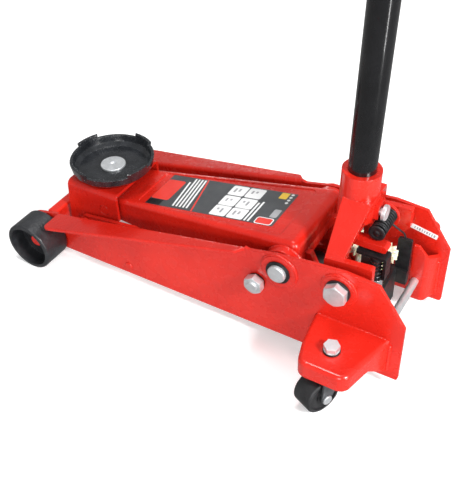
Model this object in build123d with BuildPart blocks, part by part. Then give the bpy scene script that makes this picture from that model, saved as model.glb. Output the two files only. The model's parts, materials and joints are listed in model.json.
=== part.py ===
"""Three-ton hydraulic trolley jack with a swivelling saddle and rear casters.

Frame: +X towards the saddle, +Y to the jack's left, +Z up, in millimetres.
The origin lies on the floor, under the middle of the overall size.
"""

import os
from math import asin, atan2, cos, degrees, pi, sin, tan

from build123d import *

# ---- driving dimensions --------------------------------------------------
plate_outer = 87.5
plate_thick = 5.0
plate_inner = plate_outer - plate_thick
plate_bottom = 18.0
plate_rear = -321.0
arm_boss_radius = 25.5
handle_boss_radius = 23.5
boss_thick = 2.5
boss_face = plate_outer + boss_thick

arm_pivot_x, arm_pivot_z = -143.0, 138.0
rod_anchor_x, rod_anchor_z = -108.8, 105.6
lower_pin_x, lower_pin_z = 214.2, 65.1
upper_pin_x = lower_pin_x - (rod_anchor_x - arm_pivot_x)
upper_pin_z = lower_pin_z - (rod_anchor_z - arm_pivot_z)
handle_pivot_x, handle_pivot_z = -229.0, 143.5
tie_rod_x, tie_rod_z = -285.5, 64.3
axle_x, axle_z = 280.4, 40.5

shaft_radius = 13.0
handle_bolt_radius = 9.0
anchor_radius = 9.0
anchor_thread = 8.0
anchor_washer = 2.8
nut_height = 11.0
anchor_hexagon = 25.0
handle_hexagon, handle_head_height = 29.0, 10.5
kingpin_hexagon, kingpin_head_height = 19.0, 8.0
boss_ring_radius = 17.5
kingpin_radius = 6.0
kingpin_bore = kingpin_radius + 0.05
kingpin_washer = 2.4
handle_washer = 3.0
link_pin_radius = 9.0
bracket_pin_radius = 9.0
axle_radius = 9.8
tie_rod_radius = 5.9
rivet_radius, rivet_head = 9.0, 3.5
running_gap = 0.05
loose_gap = 0.4
lift_angle = 66.0

front_wheel_radius = 40.5
front_wheel_in, front_wheel_out = 89.3, 136.0
front_wheel_recess, front_wheel_hub = 34.0, 19.0
axle_end = 118.0
shaft_end = 97.5

kingpin_x, kingpin_y = -246.0, 138.5
caster_top = 88.0
caster_skirt = 25.0
caster_sheet = 5.0
caster_radius = 27.0
caster_width = 31.0
caster_trail = 22.0
caster_heading = 66.0

saddle_x = 198.0
bracket_top = 132.5
bracket_half = 56.3
bracket_sheet = 5.0

ram_z = 78.0
ram_start_x = -39.0
ram_drop = arm_pivot_z - ram_z
ram_per_radian = 67.7
cylinder_radius = 25.0

handle_lean = 1.87
handle_radius = 18.3
handle_top = 1150.0
socket_radius = 25.8
rim_x, rim_z = -213.4, 271.7

gear_teeth = 14
gear_module = 2.5
gear_low, gear_high = 124.0, 134.0
release_x, release_y = -246.0, -21.5
drive_x = release_x + gear_teeth * gear_module

plunger_x, plunger_y = -253.0, 20.0
yoke_top = 164.0
yoke_rear = -268.0
yoke_sheet = 4.0
yoke_under = yoke_top - yoke_sheet
yoke_foot = 128.0
yoke_right, yoke_left = 10.5, 29.5
plunger_radius = 6.0
barrel_top = 122.0

bend_start_x, bend_start_z = -90.0, 157.3
bend_end_x, bend_end_z = 251.0, 85.0
bend_angle = atan2(bend_end_z - bend_start_z, bend_end_x - bend_start_x)


# ---- helpers --------------------------------------------------------------
def across(y):
    """A plane facing -Y at the given y, whose own axes are +X and +Z."""
    return Plane.XZ.offset(-y)


def bar_y(radius, y_low, y_high, x, z, mode=Mode.ADD):
    """A round bar along Y, added to or cut from the open block."""
    with Locations(Location((x, (y_low + y_high) / 2, z), (90, 0, 0))):
        Cylinder(radius, y_high - y_low, mode=mode)


def bar_x(radius, x_low, x_high, y, z, mode=Mode.ADD):
    """A round bar along X, added to or cut from the open block."""
    with Locations(Location(((x_low + x_high) / 2, y, z), (0, 90, 0))):
        Cylinder(radius, x_high - x_low, mode=mode)


def bar_z(radius, z_low, z_high, x, y, mode=Mode.ADD):
    """A round bar along Z, added to or cut from the open block."""
    with Locations((x, y, (z_low + z_high) / 2)):
        Cylinder(radius, z_high - z_low, mode=mode)


def block(x_low, x_high, y_low, y_high, z_low, z_high, mode=Mode.ADD):
    """A rectangular block between three pairs of faces."""
    with Locations(((x_low + x_high) / 2, (y_low + y_high) / 2, (z_low + z_high) / 2)):
        Box(x_high - x_low, y_high - y_low, z_high - z_low, mode=mode)


def hexagon_y(across_flats, y_low, y_high, x, z):
    """Starts the open block with a hexagonal head along Y, its outer corners turned round."""
    with BuildSketch(across(y_high)) as outline:
        with Locations((x, z)):
            RegularPolygon(across_flats / 2, 6, major_radius=False, rotation=30)
    height = y_high - y_low
    extrude(outline.sketch, amount=height)
    face_radius = across_flats * 0.49
    with Locations(Location((x, (y_low + y_high) / 2, z), (90, 0, 0))):
        Cone(face_radius, face_radius + height * tan(pi / 3), height, mode=Mode.INTERSECT)


def keep(solid, name):
    """Labels a finished piece and writes its STEP file."""
    solid.label = name
    export_step(solid, f"parts/{name}.step")


def keep_pair(piece, name):
    """Writes the left piece, and its mirror image as the right one."""
    keep(piece.part, f"{name}_left")
    keep(mirror(piece.part, about=Plane.XZ), f"{name}_right")


def keep_both(piece, name):
    """Writes the left piece and its mirror image together, as one group of solids."""
    keep(Compound([*piece.part.solids(), *mirror(piece.part, about=Plane.XZ).solids()]), name)


os.makedirs("parts", exist_ok=True)

# ---- side plates ----------------------------------------------------------
nose_radius = 36.0
nose_start = 78.0
nose_end = -degrees(asin((axle_z - plate_bottom) / nose_radius))
flange_front_width = 37.0
flange_rear_width = 11.0
bend_radius = 6.0
bump_x, bump_z = 119.4, 31.8
bump_radius, bump_height = 7.0, 1.6
flange_length = (bend_end_x - bend_start_x) / cos(bend_angle)
bend_plane = Plane(
    origin=(bend_start_x, plate_inner, bend_start_z),
    x_dir=(cos(bend_angle), 0, sin(bend_angle)),
    z_dir=(-sin(bend_angle), 0, cos(bend_angle)),
)

with BuildPart() as side_plate:
    with BuildSketch(across(plate_outer)):
        with BuildLine():
            nose = CenterArc((axle_x, axle_z), nose_radius, nose_start, nose_end - nose_start)
            Polyline(
                nose @ 0,
                (bend_end_x, bend_end_z),
                (bend_start_x, bend_start_z),
                (-97, 155.5),
                (-139, 164.8),
                (-189, 171.5),
                (-236, 176.0),
                (-282, 172.5),
                (plate_rear, 116),
                (plate_rear, plate_bottom),
                nose @ 1,
            )
        make_face()
        fillet(vertices().group_by(Axis.Y)[-1], 9)
        fillet(vertices().group_by(Axis.X)[0], 4)
    extrude(amount=plate_thick)
    # the turned-out flange along the sloping top edge
    with BuildSketch(bend_plane):
        with BuildLine():
            Polyline(
                (0, 0),
                (0, plate_thick),
                (10, plate_thick + flange_rear_width),
                (flange_length - 16, plate_thick + flange_front_width),
                (flange_length, plate_thick + flange_front_width),
                (flange_length, 0),
                (0, 0),
            )
        make_face()
        fillet(vertices().group_by(Axis.X)[-1].sort_by(Axis.Y)[-1], 9)
        fillet(vertices().sort_by(Axis.X)[2], 6)
    extrude(amount=-plate_thick)
    with BuildSketch(Plane(bend_plane.origin, x_dir=(0, 1, 0), z_dir=bend_plane.x_dir)):
        Rectangle(bend_radius, bend_radius, align=(Align.MIN, Align.MAX))
        with Locations((bend_radius, -bend_radius)):
            Circle(bend_radius, mode=Mode.SUBTRACT)
    extrude(amount=flange_length, mode=Mode.SUBTRACT)
    # welded bosses round the arm shaft and the handle pivot
    bar_y(arm_boss_radius, plate_outer, boss_face, arm_pivot_x, arm_pivot_z)
    bar_y(handle_boss_radius, plate_outer, boss_face, handle_pivot_x, handle_pivot_z)
    fillet(edges().filter_by(GeomType.CIRCLE).group_by(Axis.Y)[-1], 1.2)
    bump = Vector(bump_x, plate_outer + bump_height, bump_z)
    bar_y(bump_radius, plate_outer, bump.Y, bump_x, bump_z)
    fillet(faces().sort_by(lambda f: (f.center() - bump).length)[0].edges(), 1.2)
    for radius, x, z in (
        (shaft_radius, arm_pivot_x, arm_pivot_z),
        (handle_bolt_radius, handle_pivot_x, handle_pivot_z),
        (anchor_thread, rod_anchor_x, rod_anchor_z),
        (axle_radius, axle_x, axle_z),
        (tie_rod_radius, tie_rod_x, tie_rod_z),
    ):
        bar_y(radius, plate_inner - 1, boss_face + 1, x, z, mode=Mode.SUBTRACT)
keep_pair(side_plate, "side_plate")

# ---- front cross plate and rear tie rod ------------------------------------
with BuildPart() as front_cross_plate:
    block(259, 275, -plate_inner, plate_inner, 77, 81)
    block(259, 263, -plate_inner, plate_inner, 46, 81)
    fillet(edges().filter_by(Axis.Y).group_by(Axis.Z)[-1].sort_by(Axis.X)[0], 3.5)
keep(front_cross_plate.part, "front_cross_plate")

with BuildPart() as rear_tie_rod:
    bar_y(tie_rod_radius, -plate_outer, plate_outer, tie_rod_x, tie_rod_z)
    # the ends are riveted over outside the plates
    bar_y(rivet_radius, plate_outer, plate_outer + rivet_head, tie_rod_x, tie_rod_z)
    bar_y(rivet_radius, -plate_outer - rivet_head, -plate_outer, tie_rod_x, tie_rod_z)
    fillet(edges().filter_by(GeomType.CIRCLE).filter_by(lambda e: abs(e.center().Y) > 90), 1.5)
keep(rear_tie_rod.part, "rear_tie_rod")

# ---- rear gussets ---------------------------------------------------------
gusset_face = 57.0
with BuildPart() as rear_gusset:
    with BuildSketch(Plane.XY.offset(30)):
        with BuildLine():
            Polyline(
                (-277, gusset_face),
                (-300, gusset_face),
                (-311, plate_inner),
                (-306.5, plate_inner),
                (-297.5, gusset_face + 4),
                (-277, gusset_face + 4),
                (-277, gusset_face),
            )
        make_face()
        fillet(vertices().group_by(Axis.Y)[0].sort_by(Axis.X)[0], 9)
    extrude(amount=98)
    with BuildSketch(across(plate_outer)):
        with BuildLine():
            Polyline((-282, 131), (-320, 90), (-320, 131), (-282, 131))
        make_face()
    extrude(amount=40, mode=Mode.SUBTRACT)
    bar_y(tie_rod_radius, 50, 70, tie_rod_x, tie_rod_z, mode=Mode.SUBTRACT)
keep_both(rear_gusset, "rear_gussets")

# ---- caster brackets ------------------------------------------------------
bracket_front, bracket_rear = -197.6, -304.5
bracket_edge = 175.5
bracket_wall = 4.0
knee_x, knee_y = -291.0, 135.0
skirt_low = caster_top - caster_skirt
wall_foot = 28.0

with BuildPart() as caster_bracket:
    with BuildSketch(Plane.XY.offset(skirt_low)) as caster_plan:
        with BuildLine():
            Polyline(
                (bracket_front, plate_outer),
                (-205, 140),
                (-215, bracket_edge),
                (-281, bracket_edge),
                (knee_x, knee_y),
                (bracket_rear, plate_outer),
                (bracket_front, plate_outer),
            )
        make_face()
        fillet(vertices().group_by(Axis.Y)[-1], 15)
        fillet(vertices().sort_by(lambda v: abs(v.X - knee_x))[0], 14)
    extrude(amount=caster_skirt)
    fillet(faces().sort_by(Axis.Z)[-1].edges().filter_by(lambda e: e.center().Y > plate_outer + 1), 6)
    with BuildSketch(Plane.XY.offset(skirt_low)):
        offset(caster_plan.sketch, amount=-bracket_wall)
    extrude(amount=caster_skirt - caster_sheet, mode=Mode.SUBTRACT)
    block(
        bracket_rear + bracket_wall + 1.5, bracket_front - bracket_wall - 1.5,
        plate_outer - 1, plate_outer + bracket_wall + 1,
        skirt_low - 1, caster_top - caster_sheet, mode=Mode.SUBTRACT,
    )
    # the rear wall, which runs on down the side plate
    rear_wall = Plane(
        origin=(bracket_rear, plate_outer, 0),
        x_dir=(knee_x - bracket_rear, knee_y - plate_outer, 0),
        z_dir=(knee_y - plate_outer, bracket_rear - knee_x, 0),
    )
    with BuildSketch(rear_wall):
        with BuildLine():
            Polyline(
                (0, wall_foot),
                (0, skirt_low + 6),
                (42, skirt_low + 6),
                (42, skirt_low),
                (0, wall_foot),
            )
        make_face()
    extrude(amount=bracket_wall)
    block(
        bracket_rear - 4, bracket_rear + bracket_wall + 4, plate_inner, plate_outer,
        wall_foot - 4, caster_top, mode=Mode.SUBTRACT,
    )
    bar_z(kingpin_bore, caster_top - 10, caster_top + 1, kingpin_x, kingpin_y, mode=Mode.SUBTRACT)
keep_pair(caster_bracket, "caster_bracket")

# ---- casters --------------------------------------------------------------
trail_x = caster_trail * cos(caster_heading * pi / 180)
trail_y = caster_trail * sin(caster_heading * pi / 180)
wheel_x, wheel_y = kingpin_x + trail_x, kingpin_y + trail_y
caster_frame = Plane(
    origin=(wheel_x, wheel_y, caster_radius),
    x_dir=(trail_x, trail_y, 0),
    z_dir=(trail_y, -trail_x, 0),
)
fork_inner, fork_outer = 17.4, 20.4
crown_low, crown_high = 56.6, 60.0
fork_reach = 30.0
cheek_eye = 8.0
raised_hub = 13.0
race_bore, race_low = 6.1, 71.0
bearing_top = caster_top - caster_sheet

with BuildPart() as kingpin_bolt:
    with BuildSketch(Plane.XY.offset(caster_top + kingpin_washer)):
        with Locations((kingpin_x, kingpin_y)):
            RegularPolygon(kingpin_hexagon / 2, 6, major_radius=False, rotation=18)
    extrude(amount=kingpin_head_height)
    bar_z(10.6, caster_top + kingpin_washer, caster_top + kingpin_washer + 1, kingpin_x, kingpin_y)
    bar_z(kingpin_radius, crown_low - 1.6, caster_top + 3, kingpin_x, kingpin_y)
keep_both(kingpin_bolt, "kingpin_bolts")

with BuildPart() as swivel_bearing:
    with BuildSketch(Plane.XZ):
        with BuildLine():
            Polyline(
                (race_bore, race_low),
                (19, race_low),
                (22.5, race_low + 5),
                (22.5, race_low + 9),
                (16, bearing_top),
                (race_bore, bearing_top),
                (race_bore, race_low),
            )
        make_face()
    revolve(axis=Axis.Z)
swivel_bearing.part = Pos(kingpin_x, kingpin_y, 0) * swivel_bearing.part
keep_both(swivel_bearing, "swivel_bearings")

with BuildPart() as caster_fork:
    with BuildSketch(Plane.XY.offset(crown_low)):
        with Locations((kingpin_x, kingpin_y)):
            Circle(fork_reach)
        with Locations((kingpin_x + trail_x * 0.3, kingpin_y + trail_y * 0.3)):
            Rectangle(44, 2 * fork_outer, rotation=caster_heading, mode=Mode.INTERSECT)
    extrude(amount=crown_high - crown_low)
    bar_z(raised_hub, crown_high - 0.1, race_low - 0.3, kingpin_x, kingpin_y)
    for face in (fork_outer, -fork_inner):
        with BuildSketch(caster_frame.offset(face)):
            with BuildLine():
                Polyline(
                    (cheek_eye, 0),
                    (5, crown_high - caster_radius),
                    (-fork_reach, crown_high - caster_radius),
                    (-cheek_eye, 0),
                    (cheek_eye, 0),
                )
            make_face()
            Circle(cheek_eye)
        extrude(amount=-(fork_outer - fork_inner))
    bar_z(6.1, 50, 80, kingpin_x, kingpin_y, mode=Mode.SUBTRACT)
    with BuildSketch(caster_frame.offset(30)):
        Circle(4)
    extrude(amount=-60, mode=Mode.SUBTRACT)
keep_pair(caster_fork, "caster_fork")

with BuildPart() as caster_axle:
    with BuildSketch(caster_frame.offset(-fork_outer)):
        Circle(4)
    extrude(amount=2 * fork_outer)
    for face in (fork_outer, -fork_outer - 3):
        with BuildSketch(caster_frame.offset(face)):
            Circle(7)
        extrude(amount=3)
    fillet(edges().filter_by(GeomType.CIRCLE).filter_by(lambda e: e.radius > 6), 1.2)
keep_pair(caster_axle, "caster_axle")

with BuildPart() as caster_wheel:
    with BuildSketch(caster_frame.offset(-caster_width / 2)):
        Circle(caster_radius)
    extrude(amount=caster_width)
    fillet(edges().filter_by(GeomType.CIRCLE), 3)
    for face, depth in ((caster_width / 2, -3), (-caster_width / 2, 3)):
        with BuildSketch(caster_frame.offset(face)):
            Circle(caster_radius - 5)
            Circle(10, mode=Mode.SUBTRACT)
        extrude(amount=depth, mode=Mode.SUBTRACT)
    with BuildSketch(caster_frame.offset(-caster_width / 2)):
        Circle(4 + running_gap)
    extrude(amount=caster_width, mode=Mode.SUBTRACT)
keep_pair(caster_wheel, "caster_wheel")

# ---- front axle and wheels ------------------------------------------------
with BuildPart() as front_axle:
    bar_y(axle_radius, -axle_end, axle_end, axle_x, axle_z)
    chamfer(edges().filter_by(GeomType.CIRCLE), 1)
keep(front_axle.part, "front_axle")

hub_face = 114.0
web_face = 110.5
with BuildPart() as front_wheel:
    bar_y(front_wheel_radius, front_wheel_in, front_wheel_out, axle_x, axle_z)
    fillet(edges().filter_by(GeomType.CIRCLE), 2.5)
    bar_y(front_wheel_recess, web_face, front_wheel_out + 1, axle_x, axle_z, mode=Mode.SUBTRACT)
    bar_y(front_wheel_hub, web_face - 1, hub_face, axle_x, axle_z)
    bar_y(axle_radius + running_gap, 80, 140, axle_x, axle_z, mode=Mode.SUBTRACT)
keep_pair(front_wheel, "front_wheel")

with BuildPart() as wheel_retainer:
    bar_y(15.5, hub_face + 0.4, hub_face + 2.2, axle_x, axle_z)
    bar_y(axle_radius, hub_face - 1, hub_face + 4, axle_x, axle_z, mode=Mode.SUBTRACT)
keep_both(wheel_retainer, "wheel_retainers")

# ---- arm shaft, handle bolts and rod anchors ------------------------------
with BuildPart() as arm_pivot_shaft:
    bar_y(shaft_radius, -shaft_end, shaft_end, arm_pivot_x, arm_pivot_z)
    chamfer(edges().filter_by(GeomType.CIRCLE), 1.5)
keep(arm_pivot_shaft.part, "arm_pivot_shaft")

with BuildPart() as shaft_ring:
    bar_y(boss_ring_radius, boss_face, boss_face + 2.2, arm_pivot_x, arm_pivot_z)
    bar_y(shaft_radius, boss_face - 1, boss_face + 3, arm_pivot_x, arm_pivot_z, mode=Mode.SUBTRACT)
keep_both(shaft_ring, "shaft_rings")

washer_face = boss_face + handle_washer
with BuildPart() as handle_pivot_bolt:
    hexagon_y(
        handle_hexagon, washer_face, washer_face + handle_head_height,
        handle_pivot_x, handle_pivot_z,
    )
    bar_y(handle_bolt_radius, 62, boss_face + 4, handle_pivot_x, handle_pivot_z)
keep_both(handle_pivot_bolt, "handle_pivot_bolts")

with BuildPart() as rod_anchor_bolt:
    bar_y(12.5, 69.9, 72.2, rod_anchor_x, rod_anchor_z)
    bar_y(anchor_radius, 72.2, plate_inner, rod_anchor_x, rod_anchor_z)
    bar_y(anchor_thread, plate_inner, 104, rod_anchor_x, rod_anchor_z)
    chamfer(edges().filter_by(GeomType.CIRCLE).group_by(Axis.Y)[-1], 1)
keep_both(rod_anchor_bolt, "rod_anchor_bolts")

with BuildPart() as bolt_washer:
    bar_y(12.6, plate_outer, plate_outer + anchor_washer, rod_anchor_x, rod_anchor_z)
    bar_y(anchor_thread, 86, 92, rod_anchor_x, rod_anchor_z, mode=Mode.SUBTRACT)
    bar_y(boss_ring_radius, boss_face, boss_face + handle_washer, handle_pivot_x, handle_pivot_z)
    bar_y(
        handle_bolt_radius, boss_face - 1, boss_face + 4,
        handle_pivot_x, handle_pivot_z, mode=Mode.SUBTRACT,
    )
    bar_z(11.5, caster_top, caster_top + kingpin_washer, kingpin_x, kingpin_y)
    bar_z(kingpin_bore, caster_top - 1, caster_top + 3, kingpin_x, kingpin_y, mode=Mode.SUBTRACT)
keep_both(bolt_washer, "bolt_washers")

nut_seat = plate_outer + anchor_washer
with BuildPart() as rod_anchor_nut:
    hexagon_y(anchor_hexagon, nut_seat, nut_seat + nut_height, rod_anchor_x, rod_anchor_z)
    bar_y(anchor_thread, 86, 105, rod_anchor_x, rod_anchor_z, mode=Mode.SUBTRACT)
keep_both(rod_anchor_nut, "rod_anchor_nuts")

# ---- hydraulic power unit -------------------------------------------------
body_rear, body_front = -262.0, -205.0
body_half = 46.0
body_low, body_high = 36.0, 92.0
cylinder_front = -62.0
gland_front = -50.0
rod_radius = 14.0
post_rear, post_right = -278.0, -47.0

with BuildPart() as pump_body:
    block(body_rear, body_front, -body_half, body_half, body_low, body_high)
    fillet(edges().filter_by(Axis.Z), 6)
    fillet(edges().group_by(Axis.Z)[-1], 2)
    # feet that rest against both side plates
    block(-240, -222, -plate_inner, plate_inner, 48, 66)
    # the lug that carries the spring post
    block(post_rear, body_rear + 8, post_right, -38, 68, body_high)
    bar_z(plunger_radius + running_gap, 66, body_high + 1, plunger_x, plunger_y, mode=Mode.SUBTRACT)
    bar_x(rod_radius + 6, -226, body_front + 1, 0, ram_z - 12, mode=Mode.SUBTRACT)
    for x in (release_x, drive_x):
        bar_z(4, 76, body_high + 1, x, release_y, mode=Mode.SUBTRACT)
keep(pump_body.part, "pump_body")

with BuildPart() as ram_cylinder:
    bar_x(cylinder_radius, body_front, cylinder_front, 0, ram_z)
    fillet(edges().filter_by(GeomType.CIRCLE).group_by(Axis.X)[-1], 2)
    bar_x(rod_radius + 4, body_front - 1, cylinder_front + 1, 0, ram_z, mode=Mode.SUBTRACT)
keep(ram_cylinder.part, "ram_cylinder")

with BuildPart() as gland_nut:
    with BuildSketch(Plane.YZ.offset(cylinder_front)):
        with Locations((0, ram_z)):
            RegularPolygon(22, 8, major_radius=False)
    extrude(amount=gland_front - cylinder_front)
    bar_x(rod_radius + 4, cylinder_front - 14, cylinder_front, 0, ram_z)
    bar_x(rod_radius + running_gap, cylinder_front - 15, gland_front + 1, 0, ram_z, mode=Mode.SUBTRACT)
keep(gland_nut.part, "gland_nut")

with BuildPart() as body_plug:
    bar_z(7, body_high, body_high + 4, -222, 34)
    bar_z(3.5, body_high + 4, body_high + 7, -222, 34)
    bar_z(5, body_high, body_high + 5, -240, -37)
    block(-245, -235, -37.7, -36.3, body_high + 3.6, body_high + 6, mode=Mode.SUBTRACT)
keep(body_plug.part, "body_plugs")

with BuildPart() as pump_barrel:
    bar_z(10, body_high, barrel_top, plunger_x, plunger_y)
    bar_z(10.6, body_high, body_high + 9, plunger_x, plunger_y)
    bar_z(
        plunger_radius + running_gap, body_high - 1, barrel_top + 1,
        plunger_x, plunger_y, mode=Mode.SUBTRACT,
    )
keep(pump_barrel.part, "pump_barrel")

with BuildPart() as spring_post:
    block(post_rear, -258, post_right, -42.5, body_high, 146)
    fillet(edges().group_by(Axis.Z)[-1].filter_by(Axis.Y), 3)
keep(spring_post.part, "spring_post")

# ---- release gears --------------------------------------------------------
pitch_radius = gear_teeth * gear_module / 2
tip_radius = pitch_radius + gear_module
root_radius = pitch_radius - 1.2 * gear_module
tooth_root, tooth_angle = 4.4, 76
gear_hub, spindle_radius = 7.0, 4.0
spindle_low = 78.0


def release_gear(x, first_tooth, spindle_high):
    """A moulded spur gear on its own vertical spindle; first_tooth is an angle in degrees."""
    with BuildPart() as gear:
        bar_z(root_radius, gear_low, gear_high, x, release_y)
        with BuildSketch(Plane.XY.offset(gear_low)):
            with Locations((x, release_y)):
                with PolarLocations(0, gear_teeth, first_tooth):
                    with Locations((root_radius - 1, 0)):
                        Trapezoid(
                            tooth_root, tip_radius - root_radius + 1, tooth_angle,
                            rotation=-90, align=(Align.CENTER, Align.MIN),
                        )
        extrude(amount=gear_high - gear_low)
        bar_z(gear_hub, gear_low - 4, gear_high + 2, x, release_y)
        bar_z(spindle_radius - running_gap, spindle_low, spindle_high, x, release_y)
    return gear


half_tooth = 180 / gear_teeth
keep(release_gear(release_x, 0, 140).part, "release_valve_gear")
keep(release_gear(drive_x, half_tooth, 158).part, "handle_drive_gear")

# ---- pump yoke, plunger and spring ----------------------------------------
with BuildPart() as pump_yoke:
    block(yoke_rear, -225, yoke_right, yoke_left, yoke_under, yoke_top)
    block(yoke_rear, yoke_rear + yoke_sheet, yoke_right, yoke_left, yoke_foot, yoke_top)
    fillet(edges().filter_by(Axis.Y).sort_by(lambda e: e.center().X - e.center().Z)[0], 3.5)
    fillet(edges().filter_by(Axis.Z).group_by(Axis.X)[-1], 4)
keep(pump_yoke.part, "pump_yoke")

with BuildPart() as pump_plunger:
    bar_z(plunger_radius, 106, yoke_under, plunger_x, plunger_y)
keep(pump_plunger.part, "pump_plunger")

with BuildPart() as pump_spring:
    bar_z(10.5, barrel_top, yoke_under, plunger_x, plunger_y)
    bar_z(7.5, barrel_top - 1, yoke_top - 3, plunger_x, plunger_y, mode=Mode.SUBTRACT)
keep(pump_spring.part, "pump_spring")

# ---- ram, crosshead and pull links ----------------------------------------
head_rear, head_front = -46.0, -26.0
link_inner, link_outer = 30.0, 36.0
link_rear_x = arm_pivot_x + ram_start_x

with BuildPart() as ram_rod:
    bar_x(rod_radius, -200, head_rear, 0, ram_z)
keep(ram_rod.part, "ram_rod")

with BuildPart() as ram_crosshead:
    block(head_rear, head_front, -link_inner, link_inner, ram_z - 18, ram_z + 18)
    fillet(edges().filter_by(Axis.Y), 4)
    for y in (-22, 22):
        block(head_rear + 4, head_rear + 10, y - 3, y + 3, ram_z - 44, ram_z - 17)
keep(ram_crosshead.part, "ram_crosshead")

with BuildPart() as pull_link:
    with BuildSketch(across(link_outer)):
        with BuildLine():
            Polyline(
                (link_rear_x, ram_z + 13),
                (head_front, ram_z + 13),
                (head_front, ram_z - 13),
                (link_rear_x, ram_z - 13),
                (link_rear_x, ram_z + 13),
            )
        make_face()
        with Locations((link_rear_x, ram_z)):
            Circle(15)
    extrude(amount=link_outer - link_inner)
    bar_y(link_pin_radius, link_outer, 50.5, link_rear_x, ram_z)
    bar_y(12, 48.6, 50.5, link_rear_x, ram_z)
keep_both(pull_link, "pull_links")

return_y, return_z = 22.0, ram_z - 38
with BuildPart() as return_spring:
    bar_x(7, body_front, head_rear + 4, return_y, return_z)
    bar_x(4.4, body_front - 1, head_rear + 5, return_y, return_z, mode=Mode.SUBTRACT)
keep_both(return_spring, "return_springs")

# ---- lift arm -------------------------------------------------------------
arm_rear_x, arm_rear_half = -148.0, 68.8
arm_front_x, arm_front_half = 144.0, 48.0
arm_taper = (arm_rear_half - arm_front_half) / (arm_front_x - arm_rear_x)
arm_slope = -0.178
arm_crown = 35.1
arm_rear_wall = -161.0
arm_rear_open = arm_pivot_z + 10
arm_sheet = 4.0
arm_pin_eye = 17.0
panel_end = 152.0
tube_end = 80.0
tube_radius = 20.0
tube_collar = 28.0
collar_start = 69.8


def arm_half(x):
    """Half the arm's outer width at x."""
    return arm_rear_half - arm_taper * (x - arm_rear_x)


def arm_top(x):
    """Height of the arm's top face at x."""
    return arm_pivot_z + arm_crown + arm_slope * (x - arm_pivot_x)


def arm_plan(inset):
    """The arm's tapered outline seen from above."""
    with BuildSketch() as plan:
        with BuildLine():
            Polyline(
                (-190, arm_half(-190) - inset),
                (210, arm_half(210) - inset),
                (210, inset - arm_half(210)),
                (-190, inset - arm_half(-190)),
                (-190, arm_half(-190) - inset),
            )
        make_face()
    return plan.sketch


with BuildPart() as arm_core:
    with BuildSketch(across(80)):
        with BuildLine():
            Polyline(
                (-200, arm_rear_open),
                (arm_rear_wall + arm_sheet, arm_rear_open),
                (arm_rear_wall + arm_sheet, arm_top(arm_rear_wall + arm_sheet) - arm_sheet),
                (240, arm_top(240) - arm_sheet),
                (240, -40),
                (-200, -40),
                (-200, arm_rear_open),
            )
        make_face()
        fillet(vertices().sort_by(Axis.Y)[-1], 7)
    extrude(amount=160)
    extrude(arm_plan(arm_sheet), amount=300, mode=Mode.INTERSECT)
    fillet(edges().filter_by(lambda e: e.length > 250).group_by(Axis.Z)[-1], 4)

with BuildPart() as lift_arm:
    with BuildSketch(across(80)):
        with BuildLine():
            Polyline(
                (arm_rear_wall, 124),
                (arm_rear_wall, arm_top(arm_rear_wall)),
                (panel_end, arm_top(panel_end)),
                (upper_pin_x, upper_pin_z + arm_pin_eye),
                (upper_pin_x, upper_pin_z - arm_pin_eye),
                (60, 79),
                (-120, 108),
                (arm_pivot_x, 110),
                (arm_rear_wall, 124),
            )
        make_face()
        fillet(vertices().sort_by(Axis.Y)[-1], 11)
        with Locations((upper_pin_x, upper_pin_z)):
            Circle(arm_pin_eye)
    extrude(amount=160)
    extrude(arm_plan(0), amount=300, mode=Mode.INTERSECT)
    fillet(edges().filter_by(lambda e: e.length > 250).group_by(Axis.Z)[-1], 7)
    add(arm_core.part, mode=Mode.SUBTRACT)
    # the shallow pressed panel in the top face
    panel_plane = Plane(
        origin=(arm_pivot_x, 0, arm_top(arm_pivot_x)),
        x_dir=(1, 0, arm_slope),
        z_dir=(-arm_slope, 0, 1),
    )
    with BuildSketch(panel_plane):
        with BuildLine():
            Polyline((15, 57), (272, 40), (272, -40), (15, -57), (15, 57))
        make_face()
        fillet(vertices(), 8)
    extrude(amount=-1.2, mode=Mode.SUBTRACT)
    bar_y(tube_radius, -80, 80, arm_pivot_x, arm_pivot_z, mode=Mode.SUBTRACT)
    bar_y(bracket_pin_radius, -80, 80, upper_pin_x, upper_pin_z, mode=Mode.SUBTRACT)
keep(lift_arm.part, "lift_arm")

with BuildPart() as arm_pivot_tube:
    bar_y(tube_radius, -tube_end, tube_end, arm_pivot_x, arm_pivot_z)
    for side in (1, -1):
        bar_y(
            tube_collar,
            min(side * tube_end, side * collar_start), max(side * tube_end, side * collar_start),
            arm_pivot_x, arm_pivot_z,
        )
    chamfer(edges().filter_by(GeomType.CIRCLE).filter_by(lambda e: abs(e.center().Y) > tube_end - 1), 1)
    bar_y(
        shaft_radius + running_gap, -tube_end - 1, tube_end + 1,
        arm_pivot_x, arm_pivot_z, mode=Mode.SUBTRACT,
    )
keep(arm_pivot_tube.part, "arm_pivot_tube")


def pin_in_arm(angle):
    """Where the link pin lies in the arm's own frame once the arm has turned by angle."""
    forward = ram_start_x + ram_per_radian * angle
    return (
        arm_pivot_x + forward * cos(angle) - ram_drop * sin(angle),
        arm_pivot_z - forward * sin(angle) - ram_drop * cos(angle),
    )


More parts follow.
